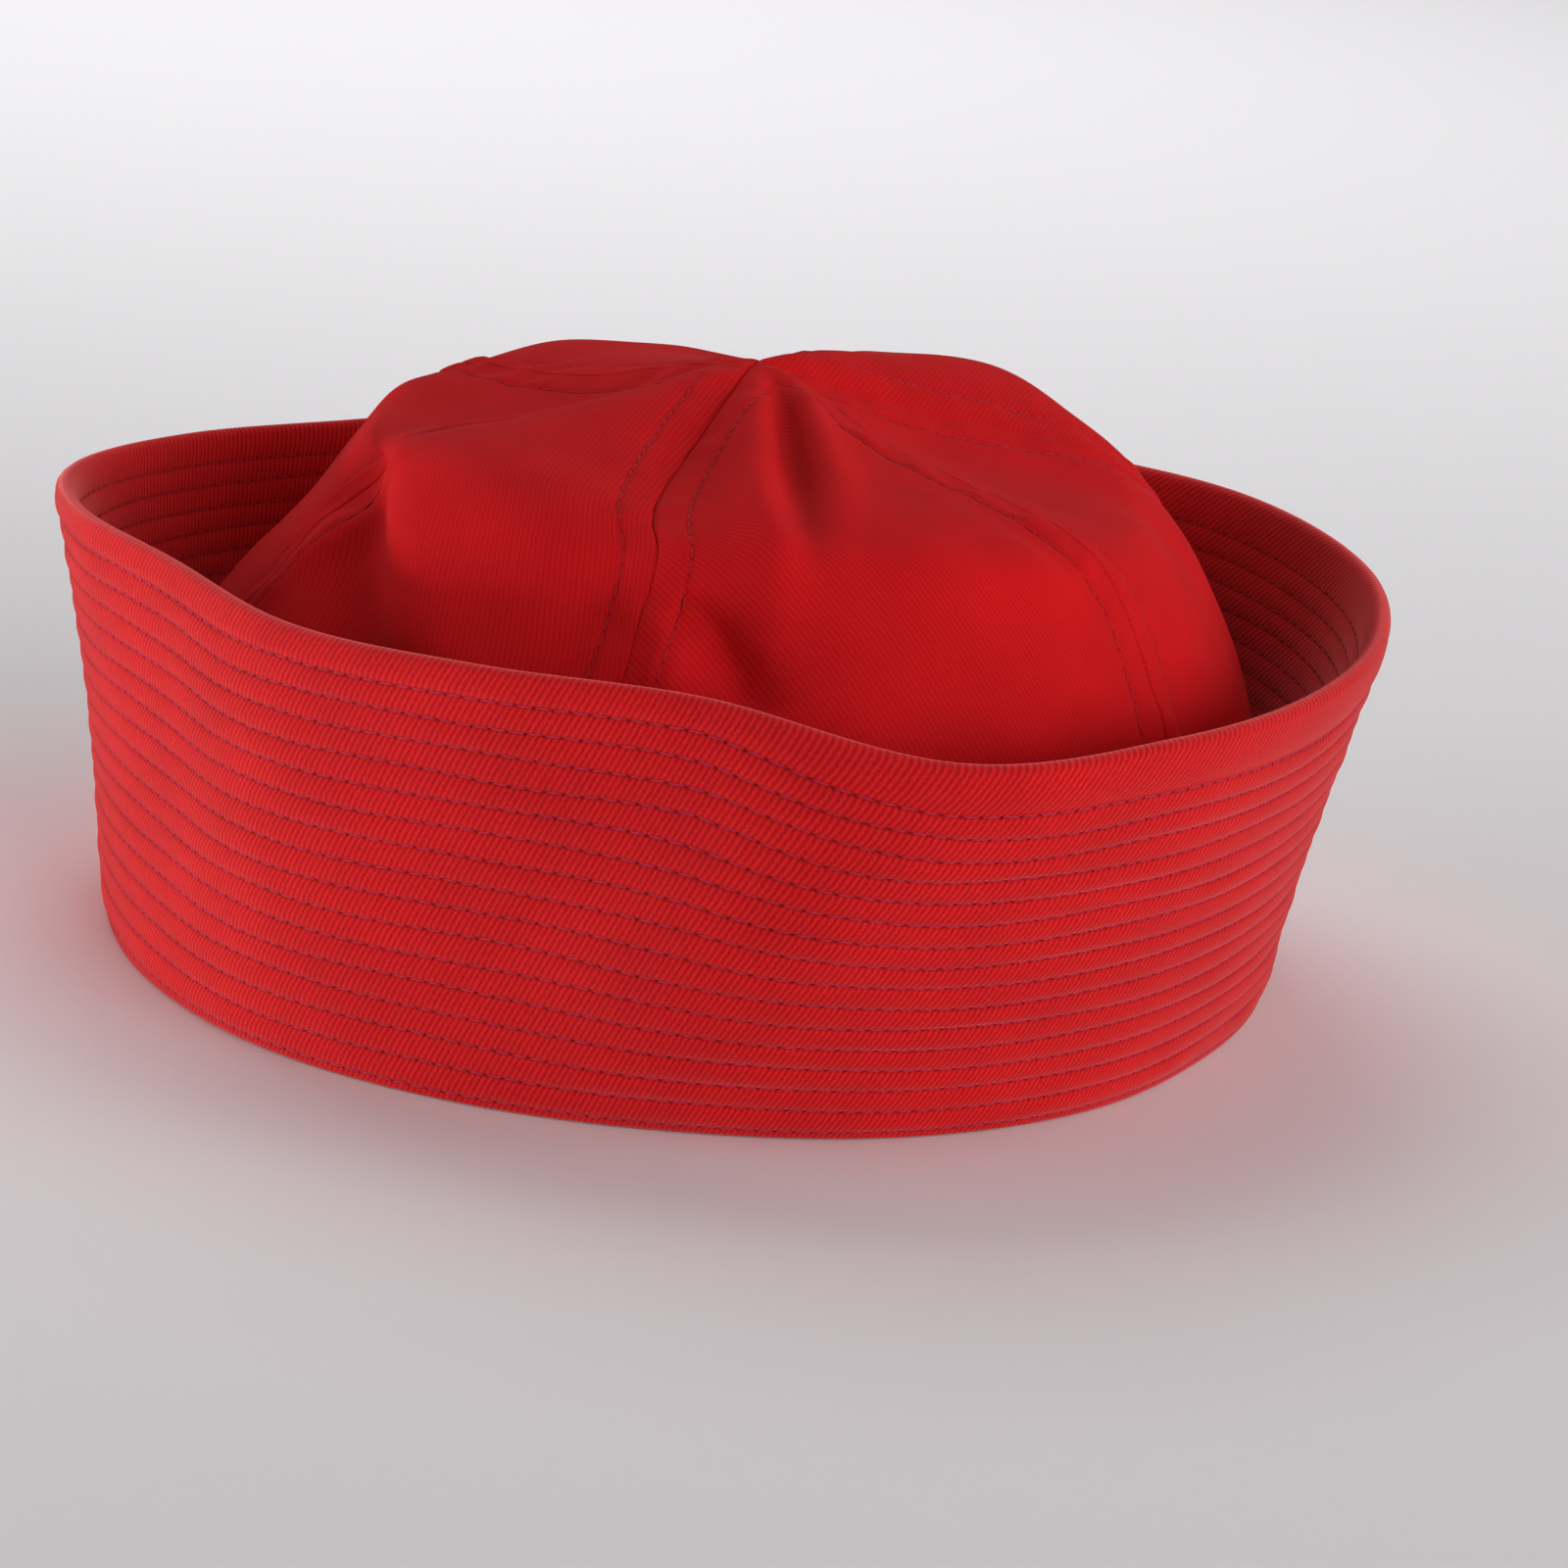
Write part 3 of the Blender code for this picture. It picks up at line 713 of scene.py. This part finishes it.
def gore_stitches(gore, stitch, seed):
    """The topstitching along both seams of a gore, on its outer face."""
    draw = np.random.default_rng(seed)
    starts, ends, outward = [], [], []
    stops = np.linspace(TOPSTITCH_START, 1.0, 400)
    stops = stops[half_arc_of(gore, stops) > TOPSTITCH_ROOM * SEAM_BAND]
    for side in (-1.0, 1.0):
        down = way_down(gore, stops)
        number = down / TOPSTITCH_LENGTH + TOPSTITCH_SHIFT * side
        whole = np.arange(np.ceil(number.min()), np.floor(number.max()) + 1)
        place = np.interp(whole, number[::-1], stops[::-1])
        share = side * (1.0 - SEAM_BAND / half_arc_of(gore, place))
        line = gore_point(gore, share, place, np.full_like(place, -THREAD * TOPSTITCH_RAISED))
        out = crown_outward(gore_bearing(gore, share, place), place)
        starts.append(line[:-1])
        ends.append(line[1:])
        outward.append((out[:-1] + out[1:]) / 2.0)
    return sewn(f"{gore.name}_stitches", stitch, np.concatenate(starts), np.concatenate(ends),
                np.concatenate(outward), draw)


# ---------------------------------------------------------------- materials

def linear(colour):
    """The linear colour of an sRGB hex value."""
    parts = [int(colour[i:i + 2], 16) / 255.0 for i in (0, 2, 4)]
    return tuple(p / 12.92 if p <= 0.04045 else ((p + 0.055) / 1.055) ** 2.4 for p in parts) + (1.0,)


def add_node(tree, kind, inputs=None, **settings):
    """Adds a node with its settings. Each input is a value, or the output that it is linked to."""
    made = tree.nodes.new(kind)
    for name, value in settings.items():
        setattr(made, name, value)
    for socket, value in (inputs or {}).items():
        if isinstance(value, bpy.types.NodeSocket):
            tree.links.new(value, made.inputs[socket])
        else:
            made.inputs[socket].default_value = value
    return made


TWILL_LIT = "DE1D22"         # top of a rib, painted lighter as a painted highlight
TWILL_SHADED = "9C0A0C"        # between two ribs, painted darker as painted shade
FUZZ = "F08080"              # fibre ends that catch the light
WAVE_LENGTH = 2.0 * pi / 20.0    # of the Wave texture at a scale of 1
RIB_WANDER = 0.9             # how unevenly the ribs run
RIB_WANDER_SCALE = 1.4       # how quickly that changes
YARNS_EACH_MM = (3.2, 2.0, 1.0)  # across a rib, along it and through the cloth
YARN_SHARE = 0.62            # share of the yarns in the weave's height; the ribs have the rest
USUAL_RANGE = (0.3, 0.7)     # of the weave's height, and of the noise that makes the patches
WEAVE_RELIEF = 0.00012       # from the top of a rib to the cloth between, in metres
PATCHES = 70.0               # patches of darker and paler cloth in a metre
PATCH_TONES = (0.94, 1.06)   # from the darkest to the palest

# Round a stitch, in millimetres.
STITCH_LENGTH = 2.8
HOLE_RADIUS = 0.08           # of a needle hole
DIMPLE_RADIUS = 0.36         # of the dimple round it
THREAD_BED = 0.05            # half of the width of a row that the thread lies in
CREASE_HALF_WIDTH = 0.5      # of the painted shade along a row of stitches
CREASE_SHADE = 0.30           # share of the cloth's colour that this painted shade takes away
HOLE_SHADE = 0.40             # and that the painted shade in a needle hole and its dimple takes away


def sewn_marks(tree):
    """The needle holes and the crease of the nearest row, as masks for painted shade, each 1 at its middle
    and 0 away from it.
    """
    sewing = add_node(tree, "ShaderNodeUVMap", uv_map="stitches")
    split = add_node(tree, "ShaderNodeSeparateXYZ", {"Vector": sewing.outputs["UV"]})
    along = add_node(tree, "ShaderNodeMath", {0: split.outputs["X"], 1: 0.5}, operation="PINGPONG")
    along = add_node(tree, "ShaderNodeMath", {0: along.outputs[0], 1: STITCH_LENGTH}, operation="MULTIPLY")
    away = add_node(tree, "ShaderNodeMath", {0: split.outputs["Y"]}, operation="ABSOLUTE")
    spot = add_node(tree, "ShaderNodeCombineXYZ", {"X": along.outputs[0], "Y": away.outputs[0]})
    reach = add_node(tree, "ShaderNodeVectorMath", {0: spot.outputs["Vector"]}, operation="LENGTH")
    hole = add_node(tree, "ShaderNodeMapRange", {"Value": reach.outputs["Value"], "From Min": HOLE_RADIUS,
                    "From Max": DIMPLE_RADIUS, "To Min": 1.0, "To Max": 0.0}, interpolation_type="SMOOTHSTEP")
    crease = add_node(tree, "ShaderNodeMapRange", {"Value": away.outputs[0], "From Min": THREAD_BED,
                      "From Max": CREASE_HALF_WIDTH, "To Min": 1.0, "To Max": 0.0},
                      interpolation_type="SMOOTHSTEP")
    return hole.outputs["Result"], crease.outputs["Result"]


def weave_height(tree, rib_angle, rib_pitch):
    """Height of the weave: diagonal ribs, broken up by the yarns that cross them."""
    cut = add_node(tree, "ShaderNodeUVMap", uv_map="cloth")
    across = add_node(tree, "ShaderNodeMapping", {"Vector": cut.outputs["UV"],
                      "Rotation": (0.0, 0.0, radians(90.0 - rib_angle))})
    scale = WAVE_LENGTH / rib_pitch
    ribs = add_node(tree, "ShaderNodeTexWave", {"Vector": across.outputs["Vector"], "Scale": scale,
                    "Distortion": RIB_WANDER, "Detail": 1.0, "Detail Scale": RIB_WANDER_SCALE / scale},
                    bands_direction="X")
    yarn_place = add_node(tree, "ShaderNodeMapping", {"Vector": across.outputs["Vector"],
                          "Scale": YARNS_EACH_MM})
    yarns = add_node(tree, "ShaderNodeTexNoise", {"Vector": yarn_place.outputs["Vector"],
                     "Scale": 1.0, "Detail": 2.0, "Roughness": 0.6})
    height = add_node(tree, "ShaderNodeMix", {"Factor": YARN_SHARE, "A": ribs.outputs["Fac"],
                      "B": yarns.outputs["Fac"]})
    return height.outputs["Result"]


def cotton_twill(name, rib_angle, rib_pitch, contrast, frosting, lustre, sewing):
    """Cotton twill, piece-dyed red: fine diagonal ribs of matt yarn, frosted on top where it rubs, with the
    ribs' tops painted lighter and the cloth between them painted darker, as painted highlight and painted
    shade.

    The contrast is how far the ribs' painted highlight and shade, and their bump, differ from the cloth
    between them, and the sewing is how strongly painted shade darkens the needle holes and the crease of a
    row of stitches, which pulls the cloth in.
    """
    material = bpy.data.materials.new(name)
    material.use_nodes = True
    tree = material.node_tree
    shader = tree.nodes["Principled BSDF"]
    hole, crease = sewn_marks(tree)
    height = weave_height(tree, rib_angle, rib_pitch)
    low, high = USUAL_RANGE
    # The weave's height paints the ribs' tops lighter and the cloth between them darker: painted highlight
    # and painted shade, scaled by the contrast.
    shade = add_node(tree, "ShaderNodeMapRange", {"Value": height, "From Min": low, "From Max": high,
                     "To Min": 0.5 - contrast / 2.0, "To Max": 0.5 + contrast / 2.0})
    red = add_node(tree, "ShaderNodeMix", {"Factor": shade.outputs["Result"], "A": linear(TWILL_SHADED),
                   "B": linear(TWILL_LIT)}, data_type="RGBA")
    place = add_node(tree, "ShaderNodeTexCoord")
    patches = add_node(tree, "ShaderNodeTexNoise", {"Vector": place.outputs["Object"],
                       "Scale": PATCHES, "Detail": 2.0, "Roughness": 0.5})
    dark, pale = PATCH_TONES
    tone = add_node(tree, "ShaderNodeMapRange", {"Value": patches.outputs["Fac"], "From Min": low,
                    "From Max": high, "To Min": dark, "To Max": pale})
    # Painted shade along the crease of each row of stitches and in the needle holes.
    crease_shaded = add_node(tree, "ShaderNodeMath", {0: crease, 1: -CREASE_SHADE * sewing,
                       2: tone.outputs["Result"]}, operation="MULTIPLY_ADD")
    hole_shaded = add_node(tree, "ShaderNodeMath", {0: hole, 1: -HOLE_SHADE * sewing, 2: crease_shaded.outputs[0]},
                       operation="MULTIPLY_ADD")
    # The red of the weave's painted light and shade, times the random patches' tone and the painted shade of
    # the holes and creases.
    toned_and_shaded = add_node(tree, "ShaderNodeVectorMath", {0: red.outputs[2], "Scale": hole_shaded.outputs[0]},
                    operation="SCALE")
    pulled = add_node(tree, "ShaderNodeMath", {0: hole, 1: -1.0, 2: height}, operation="MULTIPLY_ADD")
    relief = add_node(tree, "ShaderNodeBump", {"Strength": contrast, "Distance": WEAVE_RELIEF,
                      "Height": pulled.outputs[0]})
    tree.links.new(toned_and_shaded.outputs["Vector"], shader.inputs["Base Color"])
    tree.links.new(relief.outputs["Normal"], shader.inputs["Normal"])
    shader.inputs["Roughness"].default_value = 0.88
    shader.inputs["Specular IOR Level"].default_value = lustre
    shader.inputs["Sheen Weight"].default_value = frosting
    shader.inputs["Sheen Roughness"].default_value = 0.4
    shader.inputs["Sheen Tint"].default_value = linear(FUZZ)
    return material


def spun_thread(name, dark, pale):
    """Spun polyester sewing thread, with a faint lustre."""
    material = bpy.data.materials.new(name)
    material.use_nodes = True
    tree = material.node_tree
    shader = tree.nodes["Principled BSDF"]
    place = add_node(tree, "ShaderNodeTexCoord")
    strands = add_node(tree, "ShaderNodeTexNoise", {"Vector": place.outputs["Object"], "Scale": 2500.0,
                       "Detail": 1.0})
    colour = add_node(tree, "ShaderNodeMix", {"Factor": strands.outputs["Fac"], "A": linear(dark),
                      "B": linear(pale)}, data_type="RGBA")
    tree.links.new(colour.outputs[2], shader.inputs["Base Color"])
    shader.inputs["Roughness"].default_value = 0.6
    shader.inputs["Specular IOR Level"].default_value = 0.15
    return material


def plain_finish(name, colour, roughness):
    """One matt colour, for the floor."""
    material = bpy.data.materials.new(name)
    material.use_nodes = True
    shader = material.node_tree.nodes["Principled BSDF"]
    shader.inputs["Base Color"].default_value = linear(colour)
    shader.inputs["Roughness"].default_value = roughness
    return material


# ---------------------------------------------------------------- camera, light and floor

CAMERA_BEARING = -21.10      # to the left of the cap's front
CAMERA_CLIMB = 16.41         # above the level
CAMERA_ROLL = 4.77           # to the left
CAMERA_DISTANCE = 0.80
CAMERA_LENS = 114.22         # in millimetres, on a 36 mm square
CAMERA_AIM = (0.00935, -0.00367, 0.02557)
LAMP_DISTANCE = 2.5
LAMP_SIZE = 1.75
LAMP_AIM = (0.0, 0.0, 0.04)  # the cap's middle
FLOOR_REACH = 3.3            # from the cap to where the floor starts to curve up
FLOOR_CURVE = 0.9            # radius of that curve
BACKDROP_HEIGHT = 1.4
FLOOR_DROP = 0.0001          # of the floor under the cap's foot


def add_camera():
    """The photo's view of the cap."""
    turn, climb, roll = radians(CAMERA_BEARING), radians(CAMERA_CLIMB), radians(CAMERA_ROLL)
    back = Vector((sin(turn) * cos(climb), -cos(turn) * cos(climb), sin(climb)))
    right = Vector((cos(turn), sin(turn), 0.0))
    up = back.cross(right)
    right, up = cos(roll) * right + sin(roll) * up, cos(roll) * up - sin(roll) * right
    camera = bpy.data.objects.new("camera", bpy.data.cameras.new("camera"))
    camera.data.lens = CAMERA_LENS
    camera.data.sensor_width = 36.0
    camera.data.clip_start = 0.01
    camera.matrix_world = Matrix.Translation(Vector(CAMERA_AIM) + back * CAMERA_DISTANCE) @ (
        Matrix((right, up, back)).transposed().to_4x4())
    bpy.context.scene.collection.objects.link(camera)
    bpy.context.scene.camera = camera


def add_light(name, bearing, climb, power, distance=LAMP_DISTANCE, size=LAMP_SIZE, aim=LAMP_AIM, tall=None):
    """A soft light, square unless it is told how tall, at a bearing and a climb from its aim."""
    lamp = bpy.data.lights.new(name, "AREA")
    lamp.shape = "RECTANGLE"
    lamp.size = size
    lamp.size_y = tall or size
    lamp.energy = power
    turn, rise = radians(bearing), radians(climb)
    away = Vector((sin(turn) * cos(rise), -cos(turn) * cos(rise), sin(rise)))
    light = bpy.data.objects.new(name, lamp)
    light.location = Vector(aim) + away * distance
    light.visible_camera = False
    light.rotation_euler = away.to_track_quat("Z", "Y").to_euler()
    bpy.context.scene.collection.objects.link(light)
    return lamp


def add_floor():
    """A round pale floor that curves up into a backdrop all round."""
    profile = [(0.0, 0.0), (FLOOR_REACH, 0.0)]
    for step in range(1, 13):
        angle = pi / 2.0 * step / 12
        profile.append((FLOOR_REACH + FLOOR_CURVE * sin(angle), FLOOR_CURVE * (1.0 - cos(angle))))
    profile.append((FLOOR_REACH + FLOOR_CURVE, BACKDROP_HEIGHT))
    shape = bmesh.new()
    points = [shape.verts.new((x, 0.0, z - FLOOR_DROP)) for x, z in profile]
    edges = [shape.edges.new(pair) for pair in zip(points, points[1:])]
    bmesh.ops.spin(shape, geom=points + edges, cent=(0.0, 0.0, 0.0), axis=(0.0, 0.0, 1.0),
                   angle=2.0 * pi, steps=96, use_merge=True)
    bmesh.ops.remove_doubles(shape, verts=shape.verts, dist=0.00001)
    bmesh.ops.recalc_face_normals(shape, faces=shape.faces)
    mesh = bpy.data.meshes.new("floor")
    shape.to_mesh(mesh)
    shape.free()
    mesh.shade_smooth()
    mesh.materials.append(plain_finish("painted_board", "EDEBED", 0.7))
    floor = bpy.data.objects.new("floor", mesh)
    bpy.context.scene.collection.objects.link(floor)


def add_sky():
    """A trace of even light, so that no shadow is quite black."""
    world = bpy.data.worlds.new("studio")
    world.use_nodes = True
    sky = world.node_tree.nodes["Background"]
    sky.inputs["Color"].default_value = linear("F4F4FA")
    sky.inputs["Strength"].default_value = 0.02
    bpy.context.scene.world = world


# ---------------------------------------------------------------- the whole cap

brim_thread = spun_thread("brim_thread", "8C1030", "C83C5C")
crown_thread = spun_thread("crown_thread", "960E18", "BE2430")
one_stitch = stitch_mesh()

brim_twill = cotton_twill("brim_twill", BRIM_RIB_ANGLE, BRIM_RIB_PITCH, contrast=0.75, frosting=1.0,
                          lustre=0.1, sewing=1.0)
brim = add_piece("brim_quilted", brim_mesh(), brim_twill, "brim")
outer_stitches = brim_stitches("brim_rows_outside", one_stitch, 0.0, OUTER_ROWS_SEED)
outer_rows = add_piece("brim_rows_outside", outer_stitches, brim_thread, None)
inner_stitches = brim_stitches("brim_rows_inside", one_stitch, BRIM_WALL, INNER_ROWS_SEED)
inner_rows = add_piece("brim_rows_inside", inner_stitches, crown_thread, None)

for number, gore in enumerate(GORES):
    gore_twill = cotton_twill(f"{gore.name}_twill", gore.rib_angle, CROWN_RIB_PITCH, contrast=0.26,
                              frosting=0.05, lustre=0.05, sewing=0.5)
    panel = add_piece(f"{gore.name}_panel", gore_mesh(gore), gore_twill, gore.name)
    stitches = gore_stitches(gore, one_stitch, TOPSTITCH_SEED + number)
    seam = add_piece(f"{gore.name}_topstitching", stitches, crown_thread, None)

bpy.data.meshes.remove(one_stitch)

add_floor()
add_sky()
add_light("window_left", -110.0, 4.0, power=30.6)
add_light("table_left", -95.0, 0.0, power=0.54, distance=0.35, size=0.3, aim=(0.0, 0.0, 0.014), tall=0.02)
add_light("front", 15.0, 4.0, power=40.0)
add_light("high_front", 20.0, 25.0, power=12.0)
add_light("window_right", 60.0, 12.0, power=22.0)
add_light("high_right", 90.0, 50.0, power=9.4)
add_light("back", 180.0, 50.0, power=20.0)
floor_light = add_light("over_floor", 160.0, 88.0, power=3.2, distance=1.5, size=1.4, aim=(0.2, 1.1, 0.0))
floor_light.spread = radians(60.0)
add_camera()
bpy.context.scene.view_settings.view_transform = "Standard"
